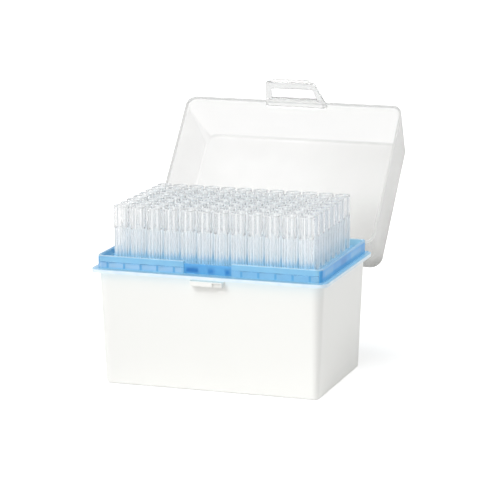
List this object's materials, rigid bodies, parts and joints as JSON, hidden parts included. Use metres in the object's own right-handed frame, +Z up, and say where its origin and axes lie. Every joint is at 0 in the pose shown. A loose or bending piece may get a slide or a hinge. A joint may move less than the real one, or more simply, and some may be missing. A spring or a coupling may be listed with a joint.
{
  "type": "box of pipette tips",
  "caption": "Hinged rack box that holds a full grid of long clear pipette tips on a see-through deck, with a deep frosted lid swung open.",
  "frame": {"origin": "centre of the base box's footprint, on the surface that it stands on", "axes": "+Z up; +X along the twelve columns of tips; -Y towards the latch at the front, +Y towards the hinge at the rear"},
  "size_m": [0.1258, 0.1703, 0.1424],
  "materials": {
    "base": "opaque white polypropylene, fine matte moulding texture",
    "deck": "see-through light blue polypropylene, satin",
    "tips": "clear natural polypropylene, slightly hazy, glossy",
    "lid": "frosted natural polypropylene, see-through where thin"
  },
  "bodies": {
    "base": {"base_box": "base", "tip_deck": "deck", "tip_column_01": "tips", "tip_column_02": "tips", "tip_column_03": "tips", "tip_column_04": "tips", "tip_column_05": "tips", "tip_column_06": "tips", "tip_column_07": "tips", "tip_column_08": "tips", "tip_column_09": "tips", "tip_column_10": "tips", "tip_column_11": "tips", "tip_column_12": "tips"},
    "lid": {"lid": "lid"}
  },
  "joints": [
    {"name": "lid_hinge", "type": "hinge", "parent": "base", "child": "lid", "pos_m": [0, 0.0457, 0.0622], "axis": [1, 0, 0], "range_deg": [0, 131.2]}
  ]
}
